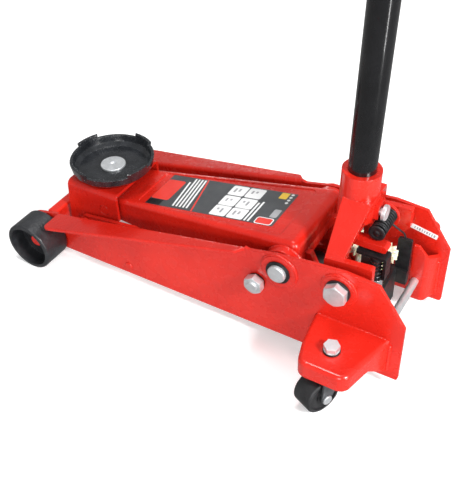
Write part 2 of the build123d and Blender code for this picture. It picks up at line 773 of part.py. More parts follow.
slot_steps = 8
lug_face, lug_thick = 48.0, 10.0
slot_path = [pin_in_arm(lift_angle * pi / 180 * step / slot_steps) for step in range(slot_steps + 1)]
with BuildPart() as arm_lug:
    with BuildSketch(across(lug_face)):
        with Locations((arm_pivot_x, arm_pivot_z)):
            Circle(tube_collar)
        with Locations(*slot_path):
            Circle(link_pin_radius + 8)
        make_hull()
        with BuildSketch(mode=Mode.SUBTRACT):
            with Locations(*slot_path):
                Circle(link_pin_radius + loose_gap)
            make_hull()
        with Locations((arm_pivot_x, arm_pivot_z)):
            Circle(tube_radius, mode=Mode.SUBTRACT)
    extrude(amount=lug_thick)
    block(
        -200, arm_rear_wall + arm_sheet, lug_face - lug_thick, lug_face,
        arm_rear_open, 200, mode=Mode.SUBTRACT,
    )
keep_both(arm_lug, "arm_lugs")

with BuildPart() as arm_front_pin:
    bar_y(bracket_pin_radius, -bracket_half, bracket_half, upper_pin_x, upper_pin_z)
    chamfer(edges().filter_by(GeomType.CIRCLE), 0.8)
keep(arm_front_pin.part, "arm_front_pin")

# ---- saddle bracket and saddle --------------------------------------------
with BuildPart() as saddle_bracket:
    with BuildSketch(across(bracket_half)):
        with BuildLine():
            Polyline(
                (153.5, bracket_top),
                (246.5, bracket_top),
                (254, 59),
                (238, 46),
                (196, 46),
                (154, 84),
                (153.5, bracket_top),
            )
        make_face()
        fillet(vertices().group_by(Axis.Y)[0], 10)
        fillet(vertices().sort_by(Axis.X)[-1], 6)
    extrude(amount=2 * bracket_half)
    fillet(edges().filter_by(Axis.X).group_by(Axis.Z)[-1], 9)
    inner_half = bracket_half - bracket_sheet
    block(100, 300, -inner_half, inner_half, 0, bracket_top - bracket_sheet, mode=Mode.SUBTRACT)
    bar_y(bracket_pin_radius + running_gap, -60, 60, upper_pin_x, upper_pin_z, mode=Mode.SUBTRACT)
    bar_y(bracket_pin_radius, -60, 60, lower_pin_x, lower_pin_z, mode=Mode.SUBTRACT)
    bar_z(10, bracket_top - 10, bracket_top + 10, saddle_x, 0, mode=Mode.SUBTRACT)
keep(saddle_bracket.part, "saddle_bracket")

pin_end, pin_head = 68.0, 2.2
with BuildPart() as bracket_lower_pin:
    bar_y(bracket_pin_radius, -pin_end, pin_end, lower_pin_x, lower_pin_z)
    for y in (-pin_end, pin_end - pin_head):
        bar_y(12, y, y + pin_head, lower_pin_x, lower_pin_z)
keep(bracket_lower_pin.part, "bracket_lower_pin")

saddle_low = bracket_top + 0.5
saddle_floor = 142.0
saddle_rim = 157.0
saddle_lug_top = 162.5
saddle_radius = 66.5
saddle_wall = 4.6
stem_radius = 10.0
stem_bore = stem_radius + 0.1
saddle_nut_height = 9.0
with BuildPart() as saddle:
    with BuildSketch(Plane.XZ):
        with BuildLine():
            Polyline(
                (stem_bore, saddle_low),
                (36, saddle_low),
                (57, saddle_floor - 2.5),
                (saddle_radius - 3, saddle_floor + 4),
                (saddle_radius, saddle_lug_top),
                (saddle_radius - saddle_wall, saddle_lug_top),
                (saddle_radius - saddle_wall - 2.5, saddle_floor + 5.5),
                (saddle_radius - 13, saddle_floor),
                (stem_bore, saddle_floor),
                (stem_bore, saddle_low),
            )
        make_face()
    revolve(axis=Axis.Z)
    # the low stretches of the rim between the four lugs
    with BuildSketch(Plane.XY.offset(saddle_rim)):
        with PolarLocations(0, 4, 30):
            with Locations((saddle_radius - 5, 0)):
                Rectangle(30, 62)
    extrude(amount=10, mode=Mode.SUBTRACT)
saddle.part = Pos(saddle_x, 0, 0) * saddle.part
keep(saddle.part, "saddle")

with BuildPart() as saddle_bolt:
    bar_z(19.6, saddle_floor + 0.3, saddle_floor + 3.3, saddle_x, 0)
    fillet(edges().group_by(Axis.Z)[-1], 1.2)
    bar_z(stem_radius, bracket_top - bracket_sheet - saddle_nut_height, saddle_floor + 1, saddle_x, 0)
    bar_z(5, saddle_floor + 1.3, saddle_floor + 4, saddle_x, 0, mode=Mode.SUBTRACT)
keep(saddle_bolt.part, "saddle_bolt")

with BuildPart() as saddle_nut:
    with BuildSketch(Plane.XY.offset(bracket_top - bracket_sheet - saddle_nut_height)):
        with Locations((saddle_x, 0)):
            RegularPolygon(14, 6, major_radius=False)
            Circle(stem_radius, mode=Mode.SUBTRACT)
    extrude(amount=saddle_nut_height)
keep(saddle_nut.part, "saddle_nut")

# ---- radius rods ----------------------------------------------------------
rod_rear_in, rod_front_in, rod_sheet = 72.5, 58.2, 6.0
with BuildPart() as radius_rod:
    with BuildSketch():
        with BuildLine():
            Polyline(
                (-130, rod_rear_in),
                (60, rod_rear_in),
                (120, rod_front_in),
                (240, rod_front_in),
                (240, rod_front_in + rod_sheet),
                (121.5, rod_front_in + rod_sheet),
                (61.5, rod_rear_in + rod_sheet),
                (-130, rod_rear_in + rod_sheet),
                (-130, rod_rear_in),
            )
        make_face()
    extrude(amount=140)
    with BuildSketch(across(85)):
        with Locations((rod_anchor_x, rod_anchor_z)):
            Circle(15)
        with Locations((lower_pin_x, lower_pin_z)):
            Circle(14)
        make_hull()
        with Locations((rod_anchor_x, rod_anchor_z)):
            Circle(anchor_radius + running_gap, mode=Mode.SUBTRACT)
        with Locations((lower_pin_x, lower_pin_z)):
            Circle(bracket_pin_radius + loose_gap, mode=Mode.SUBTRACT)
    extrude(amount=40, mode=Mode.INTERSECT)
keep_pair(radius_rod, "radius_rod")

# ---- handle socket --------------------------------------------------------
lean = handle_lean * pi / 180
handle_frame = Plane(
    origin=(rim_x, 0, rim_z), x_dir=(cos(lean), 0, sin(lean)), z_dir=(-sin(lean), 0, cos(lean)),
)
socket_depth = 72.0
foot_in, foot_out = 63.5, 73.0
foot_front, foot_rear = -201.0, -266.0
leg_front, leg_rear = -200.0, -240.0
arch_crown = 197.0
nose_right, nose_left = 8.0, 24.0
nose_low, nose_thick = 168.5, 10.0
spring_core = 7.0
bolt_z = 215.0
ear_y, ear_thick = -31.0, 4.5
spring_x, spring_z = -246.5, 192.0

with BuildPart() as socket_legs:
    # two splayed legs, cut as one arch seen from the front
    with BuildSketch(Plane.YZ.offset(leg_rear)):
        with BuildLine():
            Polyline(
                (0, 240),
                (25.5, 240),
                (foot_out, 171),
                (foot_out, 160),
                (foot_in, 160),
                (foot_in, 168),
                (30, arch_crown),
                (0, arch_crown),
                (0, 240),
            )
        make_face()
        mirror(about=Plane.YZ)
    extrude(amount=leg_front - leg_rear)
    # each leg narrows from the tube down to its foot
    with BuildSketch(across(80)):
        with BuildLine():
            Polyline(
                (leg_front, 120),
                (leg_front, 250),
                (leg_rear, 250),
                (leg_rear + 2, 234),
                (-226, 182),
                (-226, 120),
                (leg_front, 120),
            )
        make_face()
    extrude(amount=160, mode=Mode.INTERSECT)

with BuildPart() as handle_socket:
    with BuildSketch(handle_frame):
        Circle(socket_radius)
    extrude(amount=-socket_depth)
    add(socket_legs.part)
    for side in (1, -1):
        outer = foot_out if side > 0 else -foot_in
        with BuildSketch(across(outer)):
            with BuildLine():
                Polyline(
                    (foot_front, 175),
                    (foot_rear, 181),
                    (foot_rear, 150),
                    (-244, 122),
                    (-214, 122),
                    (foot_front, 146),
                    (foot_front, 175),
                )
            make_face()
            fillet(vertices().group_by(Axis.Y)[0], 12)
            fillet(vertices().group_by(Axis.X)[0], 3)
        extrude(amount=foot_out - foot_in)
        foot_near, foot_far = sorted((side * foot_out, side * 80))
        bar_y(16, foot_near, foot_far, handle_pivot_x, handle_pivot_z)
    # the nose bar that presses the pump
    block(-222, -206, nose_right, nose_left, nose_low, 200)
    block(-260, -210, nose_right, nose_left, nose_low, nose_low + nose_thick)
    bar_y(nose_thick / 2, nose_right, nose_left, -260, nose_low + nose_thick / 2)
    # the round ear on the right leg that holds the spring pin
    with BuildSketch(across(ear_y)):
        with Locations((-239, 184)):
            Circle(20)
        with Locations((-224, 198)):
            Rectangle(24, 22)
    extrude(amount=ear_thick)
    # the split clamp boss on the tube's rear
    block(-243, -222, -8, 8, bolt_z - 9, bolt_z + 13)
    with BuildSketch(handle_frame):
        Circle(handle_radius + running_gap)
    extrude(amount=-socket_depth - 4, mode=Mode.SUBTRACT)
    for side in (1, -1):
        bar_y(
            handle_bolt_radius + running_gap,
            min(side * 60, side * 82), max(side * 60, side * 82),
            handle_pivot_x, handle_pivot_z, mode=Mode.SUBTRACT,
        )
    bar_y(spring_core, ear_y - ear_thick - 1, ear_y + 1, spring_x, spring_z, mode=Mode.SUBTRACT)
keep(handle_socket.part, "handle_socket")

with BuildPart() as clamp_bolt:
    bar_x(10.8, -252, -247, 0, bolt_z)
    fillet(edges().filter_by(GeomType.CIRCLE).group_by(Axis.X)[0], 1)
    bar_x(5, -247, -243, 0, bolt_z)
keep(clamp_bolt.part, "clamp_bolt")

with BuildPart() as spring_pin:
    bar_y(6.9, ear_y - ear_thick - 3, 14, spring_x, spring_z)
    bar_y(9.5, 14, 17, spring_x, spring_z)
keep(spring_pin.part, "spring_pin")

with BuildPart() as torsion_spring:
    bar_y(11.3, ear_y + 1, 13, spring_x, spring_z)
    bar_y(7.5, ear_y, 14, spring_x, spring_z, mode=Mode.SUBTRACT)
    # the lower leg, which reaches down to the post
    with BuildSketch(Plane(origin=(-259, ear_y + 2.5, 184), z_dir=(-11, -13, -38))):
        Circle(1.3)
    extrude(amount=40)
keep(torsion_spring.part, "torsion_spring")

# ---- handle ---------------------------------------------------------------
joint_up = 330.0
lower_foot = -70.0
handle_length = (handle_top - rim_z) / cos(lean)
grip_length = 150.0
tube_wall = 2.5
upper_radius = handle_radius - 0.6
grip_radius = handle_radius + 3.2
joint_reach = 70.0
joint_rivet_radius = 7.0


def lean_bar(radius, low, high, mode=Mode.ADD):
    """A round bar on the handle's leaning axis, between two distances from the socket rim."""
    with BuildSketch(handle_frame.offset(low)) as ring:
        Circle(radius)
    extrude(ring.sketch, amount=high - low, mode=mode)


with BuildPart() as lower_handle:
    lean_bar(handle_radius, lower_foot, joint_up)
    lean_bar(handle_radius - tube_wall, lower_foot - 1, joint_up + 1, mode=Mode.SUBTRACT)
keep(lower_handle.part, "lower_handle")

with BuildPart() as upper_handle:
    lean_bar(handle_radius - tube_wall, joint_up - joint_reach, joint_up)
    lean_bar(upper_radius, joint_up, handle_length - 6)
    lean_bar(handle_radius - 2 * tube_wall, joint_up - joint_reach - 1, handle_length, mode=Mode.SUBTRACT)
keep(upper_handle.part, "upper_handle")

with BuildPart() as handle_grip:
    lean_bar(grip_radius, handle_length - grip_length, handle_length)
    fillet(edges().filter_by(GeomType.CIRCLE), 2.5)
    lean_bar(upper_radius, handle_length - grip_length - 1, handle_length - 6, mode=Mode.SUBTRACT)
keep(handle_grip.part, "handle_grip")

with BuildPart() as handle_joint_bolt:
    joint_x = rim_x - (joint_up - 30) * sin(lean)
    joint_z = rim_z + (joint_up - 30) * cos(lean)
    bar_y(joint_rivet_radius, upper_radius, handle_radius + 3, joint_x, joint_z)
    bar_y(joint_rivet_radius, -handle_radius - 3, -upper_radius, joint_x, joint_z)
    lean_bar(handle_radius, joint_up - 60, joint_up, mode=Mode.SUBTRACT)
keep(handle_joint_bolt.part, "handle_joint_rivets")

# ---- blank serial label -----------------------------------------------------
label_thick = 0.6
with BuildPart() as serial_label:
    with BuildSketch(across(label_thick - plate_inner)):
        with Locations(Location((-281.5, 136), 11.6)):
            RectangleRounded(40, 8, 1.5)
    extrude(amount=label_thick)
keep(serial_label.part, "serial_label")
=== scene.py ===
"""Looks of the hydraulic trolley jack: materials, springs, welds, label, lights and camera."""
import json
import math
import random

import bpy
from mathutils import Matrix, Vector


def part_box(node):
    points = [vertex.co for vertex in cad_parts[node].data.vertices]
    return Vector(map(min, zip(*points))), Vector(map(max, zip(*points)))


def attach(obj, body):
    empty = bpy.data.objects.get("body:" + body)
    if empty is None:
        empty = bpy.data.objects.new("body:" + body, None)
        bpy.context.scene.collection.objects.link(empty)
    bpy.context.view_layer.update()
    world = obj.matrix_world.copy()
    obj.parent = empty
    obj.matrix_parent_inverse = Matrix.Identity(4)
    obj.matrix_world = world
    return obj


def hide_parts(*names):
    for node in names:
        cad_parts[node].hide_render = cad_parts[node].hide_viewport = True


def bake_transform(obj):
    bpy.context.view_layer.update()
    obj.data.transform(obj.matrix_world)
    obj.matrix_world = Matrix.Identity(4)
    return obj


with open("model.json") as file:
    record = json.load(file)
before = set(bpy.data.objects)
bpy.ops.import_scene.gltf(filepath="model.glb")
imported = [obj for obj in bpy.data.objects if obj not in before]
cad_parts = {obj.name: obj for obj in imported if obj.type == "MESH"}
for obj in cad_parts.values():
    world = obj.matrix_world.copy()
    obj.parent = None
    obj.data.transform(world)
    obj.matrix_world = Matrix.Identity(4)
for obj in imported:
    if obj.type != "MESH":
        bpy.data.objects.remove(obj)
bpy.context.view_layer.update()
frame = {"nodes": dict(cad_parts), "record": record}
record = frame["record"]
nodes = frame["nodes"]
MM = 0.001


def mm(*values):
    """A point or size given in millimetres, in metres."""
    return Vector(v * MM for v in values)


def centre(node):
    """Middle of a CAD node's box."""
    low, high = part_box(node)
    return (low + high) / 2


# ---- camera ---------------------------------------------------------------
VIEW_AZIMUTH, VIEW_ELEVATION = math.radians(211.88), math.radians(40.59)
VIEW_ROLL = math.radians(-2.28)
VIEW_DISTANCE = 1.15925
VIEW_TARGET = mm(-29.2, 0, 80)
LENS, SENSOR_WIDTH = 55.57, 36
SHIFT_X, SHIFT_Y = -0.0140, -0.0206
CLIP_START, CLIP_END = 0.05, 50


def make_camera():
    """The photograph's point of view."""
    back = Vector((
        math.sin(VIEW_AZIMUTH) * math.cos(VIEW_ELEVATION),
        -math.cos(VIEW_AZIMUTH) * math.cos(VIEW_ELEVATION),
        math.sin(VIEW_ELEVATION),
    ))
    data = bpy.data.cameras.new("camera")
    data.lens = LENS
    data.sensor_width = SENSOR_WIDTH
    data.shift_x, data.shift_y = SHIFT_X, SHIFT_Y
    data.clip_start, data.clip_end = CLIP_START, CLIP_END
    camera = bpy.data.objects.new("camera", data)
    bpy.context.scene.collection.objects.link(camera)
    camera.rotation_mode = "QUATERNION"
    camera.location = VIEW_TARGET + back * VIEW_DISTANCE
    look = (-back).to_track_quat("-Z", "Y")
    roll = Matrix.Rotation(VIEW_ROLL, 4, "Z").to_quaternion()
    camera.rotation_quaternion = look @ roll
    bpy.context.scene.camera = camera


make_camera()


# ---- material tools -------------------------------------------------------
class Shader:
    """A node material being built, with short calls for the nodes it needs."""

    def __init__(self, name):
        self.material = bpy.data.materials.new(name)
        self.material.use_nodes = True
        self.tree = self.material.node_tree
        self.tree.nodes.clear()
        self.surface = self.node("ShaderNodeBsdfPrincipled")
        output = self.node("ShaderNodeOutputMaterial")
        self.link(self.surface.outputs["BSDF"], output.inputs["Surface"])
        self.place = self.node("ShaderNodeTexCoord").outputs["Object"]
        self.normal = None

    def node(self, kind, **settings):
        """A new node with its settings."""
        made = self.tree.nodes.new(kind)
        for key, value in settings.items():
            setattr(made, key, value)
        return made

    def link(self, a, b):
        """Joins output a to input b."""
        self.tree.links.new(a, b)

    def feed(self, socket, value):
        """Sets a socket from a number, a colour or another node's output."""
        if isinstance(value, bpy.types.NodeSocket):
            self.link(value, socket)
        elif isinstance(value, (tuple, list)) and len(value) == 3 and socket.type == "RGBA":
            socket.default_value = (*value, 1)
        else:
            socket.default_value = value

    def set(self, **values):
        """Feeds the surface shader's inputs, named with underscores for spaces."""
        for key, value in values.items():
            self.feed(self.surface.inputs[key.replace("_", " ")], value)

    def noise(self, scale, detail=3, rough=0.5):
        """Cloudy noise over the surface, from 0 to 1."""
        texture = self.node("ShaderNodeTexNoise")
        texture.inputs["Scale"].default_value = scale
        texture.inputs["Detail"].default_value = detail
        texture.inputs["Roughness"].default_value = rough
        self.link(self.place, texture.inputs["Vector"])
        return texture.outputs["Fac"]

    def ramp(self, value, low, high, start=0.0, end=1.0):
        """value from low..high, carried to start..end and clamped."""
        ramp = self.node("ShaderNodeMapRange")
        limits = {"From Min": low, "From Max": high, "To Min": start, "To Max": end}
        for key, number in limits.items():
            ramp.inputs[key].default_value = number
        self.link(value, ramp.inputs["Value"])
        return ramp.outputs["Result"]

    def mix(self, factor, a, b):
        """Colour a turning into colour b as factor rises."""
        mixer = self.node("ShaderNodeMix", data_type="RGBA")
        self.feed(mixer.inputs["Factor"], factor)
        sockets = [s for s in mixer.inputs if s.type == "RGBA"]
        self.feed(sockets[0], a)
        self.feed(sockets[1], b)
        return [s for s in mixer.outputs if s.type == "RGBA"][0]

    def math(self, operation, a, b):
        """The result of a sum or product of a and b."""
        made = self.node("ShaderNodeMath", operation=operation)
        self.feed(made.inputs[0], a)
        self.feed(made.inputs[1], b)
        return made.outputs[0]

    def soft_edges(self, radius):
        """Rounds the shading of sharp edges."""
        bevel = self.node("ShaderNodeBevel", samples=4)
        bevel.inputs["Radius"].default_value = radius
        self.normal = bevel.outputs["Normal"]

    def edge_mask(self, radius, low, high):
        """1 on sharp outer and inner edges, 0 on open faces."""
        bevel = self.node("ShaderNodeBevel", samples=4)
        bevel.inputs["Radius"].default_value = radius
        face = self.node("ShaderNodeNewGeometry").outputs["Normal"]
        dot = self.node("ShaderNodeVectorMath", operation="DOT_PRODUCT")
        self.link(bevel.outputs["Normal"], dot.inputs[0])
        self.link(face, dot.inputs[1])
        return self.ramp(self.math("SUBTRACT", 1.0, dot.outputs["Value"]), low, high)

    def bump(self, height, depth):
        """Adds a height field, depth metres deep, to the surface."""
        bump = self.node("ShaderNodeBump")
        bump.inputs["Strength"].default_value = 1.0
        bump.inputs["Distance"].default_value = depth
        self.link(height, bump.inputs["Height"])
        if self.normal is not None:
            self.link(self.normal, bump.inputs["Normal"])
        self.normal = bump.outputs["Normal"]

    def done(self, coat=False):
        """Joins the shaped normal to the surface, and to its clear coat if it has one."""
        if self.normal is not None:
            self.link(self.normal, self.surface.inputs["Normal"])
            if coat:
                self.link(self.normal, self.surface.inputs["Coat Normal"])
        return self.material


def gloss_paint(name, colour, dark, roughness=0.26, peel=0.00012):
    """Sprayed enamel: a slow change of shade, orange peel and a clear gloss."""
    s = Shader(name)
    shade = s.ramp(s.noise(7, 4), 0.35, 0.65)
    s.set(Base_Color=s.mix(shade, dark, colour))
    s.set(Roughness=s.ramp(s.noise(60, 3), 0.3, 0.7, roughness - 0.04, roughness + 0.06))
    s.set(Coat_Weight=0.55, Coat_Roughness=0.06, Specular_IOR_Level=0.35)
    s.soft_edges(0.0012)
    s.bump(s.noise(380, 2, 0.4), peel)
    s.bump(s.noise(28, 2, 0.4), 0.0003)
    return s.done(coat=True)


def zinc(name, colour=(0.80, 0.82, 0.84), roughness=0.36, metal=0.72):
    """Bright zinc plate, a little cloudy, with fine turning marks."""
    s = Shader(name)
    cloud = s.ramp(s.noise(90, 4, 0.6), 0.3, 0.7)
    s.set(Base_Color=s.mix(cloud, tuple(c * 0.78 for c in colour), colour), Metallic=metal)
    s.set(Roughness=s.ramp(s.noise(260, 4, 0.7), 0.25, 0.75, roughness - 0.08, roughness + 0.14))
    s.soft_edges(0.0007)
    s.bump(s.noise(900, 3, 0.6), 0.00008)
    return s.done()


def black_oxide(name, roughness=0.42):
    """Oiled black steel."""
    s = Shader(name)
    cloud = s.ramp(s.noise(140, 4, 0.6), 0.3, 0.7)
    s.set(Base_Color=s.mix(cloud, (0.012, 0.012, 0.014), (0.035, 0.035, 0.038)), Metallic=0.5)
    s.set(Roughness=s.ramp(s.noise(300, 3), 0.3, 0.7, roughness - 0.1, roughness + 0.1))
    s.soft_edges(0.0006)
    s.bump(s.noise(700, 3, 0.6), 0.00006)
    return s.done()


def powder_coat(name):
    """Black powder coat on the handle tubes."""
    s = Shader(name)
    cloud = s.ramp(s.noise(25, 3), 0.3, 0.7)
    s.set(Base_Color=s.mix(cloud, (0.003, 0.003, 0.0035), (0.007, 0.007, 0.008)))
    s.set(Coat_Weight=0.6, Coat_Roughness=0.05, Specular_IOR_Level=0.3)
    s.set(Roughness=s.ramp(s.noise(120, 3), 0.3, 0.7, 0.20, 0.28))
    s.bump(s.noise(420, 2, 0.5), 0.00002)
    return s.done(coat=True)


def cast_enamel(name):
    """Thick black enamel over a casting, with bright chips on its edges."""
    s = Shader(name)
    chips = s.noise(260, 5, 0.65)
    worn = s.math("MULTIPLY", s.edge_mask(0.0016, 0.03, 0.2), s.ramp(chips, 0.59, 0.65))
    cloud = s.ramp(s.noise(60, 4, 0.6), 0.3, 0.7)
    base = s.mix(cloud, (0.006, 0.007, 0.009), (0.022, 0.024, 0.028))
    s.set(Base_Color=s.mix(worn, base, (0.55, 0.57, 0.60)), Metallic=s.math("MULTIPLY", worn, 0.8))
    s.set(Roughness=s.ramp(s.noise(150, 3), 0.3, 0.7, 0.2, 0.34))
    s.set(Coat_Weight=0.5, Coat_Roughness=0.1)
    s.soft_edges(0.0012)
    s.bump(s.noise(170, 3, 0.5), 0.0002)
    return s.done(coat=True)


def cast_iron(name):
    """Sand-cast iron under satin black paint."""
    s = Shader(name)
    cloud = s.ramp(s.noise(45, 4, 0.6), 0.3, 0.7)
    s.set(Base_Color=s.mix(cloud, (0.010, 0.011, 0.013), (0.030, 0.032, 0.036)))
    s.set(Coat_Weight=0.25, Coat_Roughness=0.25)
    s.set(Roughness=s.ramp(s.noise(120, 3), 0.3, 0.7, 0.30, 0.46))
    s.soft_edges(0.0012)
    s.bump(s.noise(330, 4, 0.6), 0.0006)
    return s.done(coat=True)


def unit_paint(name):
    """Satin black paint on the power unit, dusty in places."""
    s = Shader(name)
    dust = s.ramp(s.noise(30, 4, 0.6), 0.45, 0.75)
    s.set(Base_Color=s.mix(dust, (0.012, 0.012, 0.013), (0.050, 0.046, 0.042)))
    s.set(Roughness=s.ramp(dust, 0, 1, 0.35, 0.6))
    s.soft_edges(0.001)
    s.bump(s.noise(300, 4, 0.6), 0.0004)
    return s.done()


def nylon(name):
    """Moulded natural nylon with a trace of grease."""
    s = Shader(name)
    grease = s.ramp(s.noise(120, 4, 0.6), 0.5, 0.72)
    s.set(Base_Color=s.mix(grease, (0.88, 0.87, 0.70), (0.66, 0.58, 0.28)), Roughness=0.38)
    s.set(Subsurface_Weight=0.25, Subsurface_Scale=0.004)
    s.soft_edges(0.0006)
    s.bump(s.noise(500, 2), 0.00006)
    return s.done()


def plastic(name, low, high, roughness, grain=500, depth=0.0001):
    """Plain moulded plastic or rubber with a fine grain."""
    s = Shader(name)
    s.set(Base_Color=s.mix(s.ramp(s.noise(50, 4), 0.3, 0.7), low, high))
    s.set(Roughness=s.ramp(s.noise(90, 3), 0.3, 0.7, roughness - 0.07, roughness + 0.07))
    s.soft_edges(0.0008)
    s.bump(s.noise(grain, 3, 0.6), depth)
    return s.done()


RED, RED_DARK = (0.64, 0.019, 0.009), (0.52, 0.012, 0.006)
MATERIALS = {
    "red_paint": gloss_paint("red_enamel", RED, RED_DARK),
    "zinc": zinc("zinc_plate"),
    "black_steel": black_oxide("black_oxide"),
    "handle_black": powder_coat("powder_coat"),
    "cast_black": cast_enamel("black_enamel"),
    "unit_black": unit_paint("unit_paint"),
    "bright_steel": zinc("ground_steel", (0.55, 0.56, 0.58), 0.2),
    "fork_grey": zinc("fork_plate", (0.17, 0.175, 0.185), 0.4),
    "caster_black": plastic("caster_nylon", (0.012, 0.012, 0.013), (0.03, 0.03, 0.032), 0.4),
    "nylon": nylon("natural_nylon"),
    "rubber": plastic("grip_rubber", (0.012, 0.012, 0.012), (0.028, 0.028, 0.028), 0.6, 900, 0.0002),
    "label_white": plastic("label_film", (0.80, 0.80, 0.80), (0.88, 0.88, 0.88), 0.35),
    "label_charcoal": plastic("label_charcoal", (0.045, 0.048, 0.052), (0.062, 0.066, 0.070), 0.38),
    "label_black": plastic("label_black", (0.006, 0.006, 0.007), (0.010, 0.010, 0.011), 0.38),
    "label_print": plastic("label_print", (0.78, 0.78, 0.78), (0.86, 0.86, 0.86), 0.4),
    "label_grey": plastic("label_grey", (0.30, 0.30, 0.31), (0.38, 0.38, 0.39), 0.4),
    "label_red": plastic("label_red", (0.68, 0.03, 0.02), (0.76, 0.045, 0.03), 0.4),
    "label_yellow": plastic("label_yellow", (0.80, 0.50, 0.03), (0.86, 0.58, 0.06), 0.4),
    "wheel_iron": cast_iron("wheel_iron"),
}
SLOTS = {part["node"]: part["material_slot"] for part in record["subparts"]}
OWN_LOOK = {"front_wheel_left": "wheel_iron", "front_wheel_right": "wheel_iron"}


def paint_frame():
    """Gives every CAD node the material of its slot."""
    for name, obj in nodes.items():
        material = MATERIALS[OWN_LOOK.get(name, SLOTS[name])]
        for holder in obj.material_slots:
            holder.material = material


paint_frame()


# ---- mesh tools -----------------------------------------------------------
def piece(name, points, faces, slot, body=None, look=None, smooth=True):
    """A mesh piece in the row frame, with its slot's material, riding on a body when one is given."""
    mesh = bpy.data.meshes.new(name)
    mesh.from_pydata([tuple(point) for point in points], [], faces)
    mesh.validate()
    mesh.polygons.foreach_set("use_smooth", [smooth] * len(mesh.polygons))
    mesh.materials.append(MATERIALS[look or slot])
    made = bpy.data.objects.new(name, mesh)
    bpy.context.scene.collection.objects.link(made)
    if body:
        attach(made, body)
    return made


def rings_to_mesh(rings, closed):
    """Points and faces of a skin over rings of equal size, capped unless it is closed on itself."""
    count = len(rings[0])
    points = [point for ring in rings for point in ring]
    faces = []
    spans = len(rings) if closed else len(rings) - 1
    for i in range(spans):
        first, second = i * count, (i + 1) % len(rings) * count
        for j in range(count):
            k = (j + 1) % count
            faces.append((first + j, first + k, second + k, second + j))
    if not closed:
        faces.append(tuple(reversed(range(count))))
        faces.append(tuple(range(len(points) - count, len(points))))
    return points, faces


def ring_at(middle, across, other, radius, sides):
    """Points of one ring, in the plane of two unit directions."""
    turns = [2 * math.pi * j / sides for j in range(sides)]
    return [middle + (across * math.cos(t) + other * math.sin(t)) * radius for t in turns]


def sweep(path, radius, sides=10, closed=False):
    """A tube along a path; radius is a number or one number for each point."""
    path = [Vector(point) for point in path]
    radii = [radius] * len(path) if isinstance(radius, float) else radius
    rings = []
    across = None
    for i, point in enumerate(path):
        before = path[i - 1] if i or closed else point
        after = path[(i + 1) % len(path)] if i + 1 < len(path) or closed else point
        along = (after - before).normalized()
        if across is None:
            across = along.orthogonal().normalized()
        across = (across - along * across.dot(along)).normalized()
        rings.append(ring_at(point, across, along.cross(across), radii[i], sides))
    return rings_to_mesh(rings, closed)


def lathe(start, along, profile, sides=48):
    """Turns (distance, radius) pairs about the axis from start; the ends are capped."""
    along = Vector(along).normalized()
    across = along.orthogonal().normalized()
    other = along.cross(across)
    rings = [ring_at(start + along * step, across, other, radius, sides) for step, radius in profile]
    return rings_to_mesh(rings, False)


CLOSE_PITCH = 2.1


def coil(start, end, radius, turns, wire, lead=0.0, steps=20, dead=1.5):
    """The path of a coil spring from start to end, its dead end turns lying close together."""
    start, end = Vector(start), Vector(end)
    along = (end - start).normalized()
    across = along.orthogonal().normalized()
    other = along.cross(across)
    length = (end - start).length
    count = int(turns * steps)
    close = wire * CLOSE_PITCH
    live = length - 2 * dead * close
    path = []
    for i in range(count + 1):
        turn = i / steps
        if turn < dead:
            distance = turn * close
        elif turn > turns - dead:
            distance = length - (turns - turn) * close
        else:
            distance = dead * close + live * (turn - dead) / (turns - 2 * dead)
        angle = lead + 2 * math.pi * turn
        outward = across * math.cos(angle) + other * math.sin(angle)
        path.append(start + along * distance + outward * radius)
    return path


def smooth_path(corners, steps=8):
    """A rounded path through a few corners."""
    points = [Vector(c) for c in corners]
    padded = [points[0] * 2 - points[1], *points, points[-1] * 2 - points[-2]]
    path = []
    for i in range(1, len(padded) - 2):
        a, b, c, d = padded[i - 1:i + 3]
        for k in range(steps):
            t = k / steps
            square, cube = 2 * a - 5 * b + 4 * c - d, 3 * b - a - 3 * c + d
            path.append(0.5 * (2 * b + (c - a) * t + square * t * t + cube * t ** 3))
    path.append(points[-1])
    return path


RIPPLE_LENGTH, RIPPLE_HEIGHT = 1.3, 0.16
BEAD_NOISE, BEAD_DRIFT = 0.07, 0.1


def weld(name, path, radius, body, closed=False, seed=1):
    """A weld bead: overlapping ripples, a little uneven, under the paint."""
    dice = random.Random(seed)
    path = [Vector(point) for point in path]
    length = sum((path[i + 1] - path[i]).length for i in range(len(path) - 1))
    ripple = 2 * math.pi * round(length / (radius * RIPPLE_LENGTH)) / len(path)
    radii = []
    for i in range(len(path)):
        swell = RIPPLE_HEIGHT * abs(math.sin(i * ripple / 2))
        radii.append(radius * (1 + swell + dice.uniform(-BEAD_NOISE, BEAD_NOISE)))
    drift = []
    for _ in path:
        offset = Vector((dice.uniform(-1, 1), dice.uniform(-1, 1), dice.uniform(-1, 1)))
        drift.append(offset * radius * BEAD_DRIFT)
    points, faces = sweep([a + b for a, b in zip(path, drift)], radii, 10, closed)
    return piece(name, points, faces, "red_paint", body)


def line(a, b, step=0.0011):
    """Evenly spaced points from a to b."""
    a, b = Vector(a), Vector(b)
    count = max(2, int((b - a).length / step))
    return [a.lerp(b, i / count) for i in range(count + 1)]


def circle_y(x, y, z, radius, step=0.0011):
    """Points round an axis along Y."""
    count = int(2 * math.pi * radius / step)
    turns = [2 * math.pi * i / count for i in range(count)]
    return [Vector((x + radius * math.cos(t), y, z + radius * math.sin(t))) for t in turns]


# ---- springs --------------------------------------------------------------
EAR_REACH = 0.0095


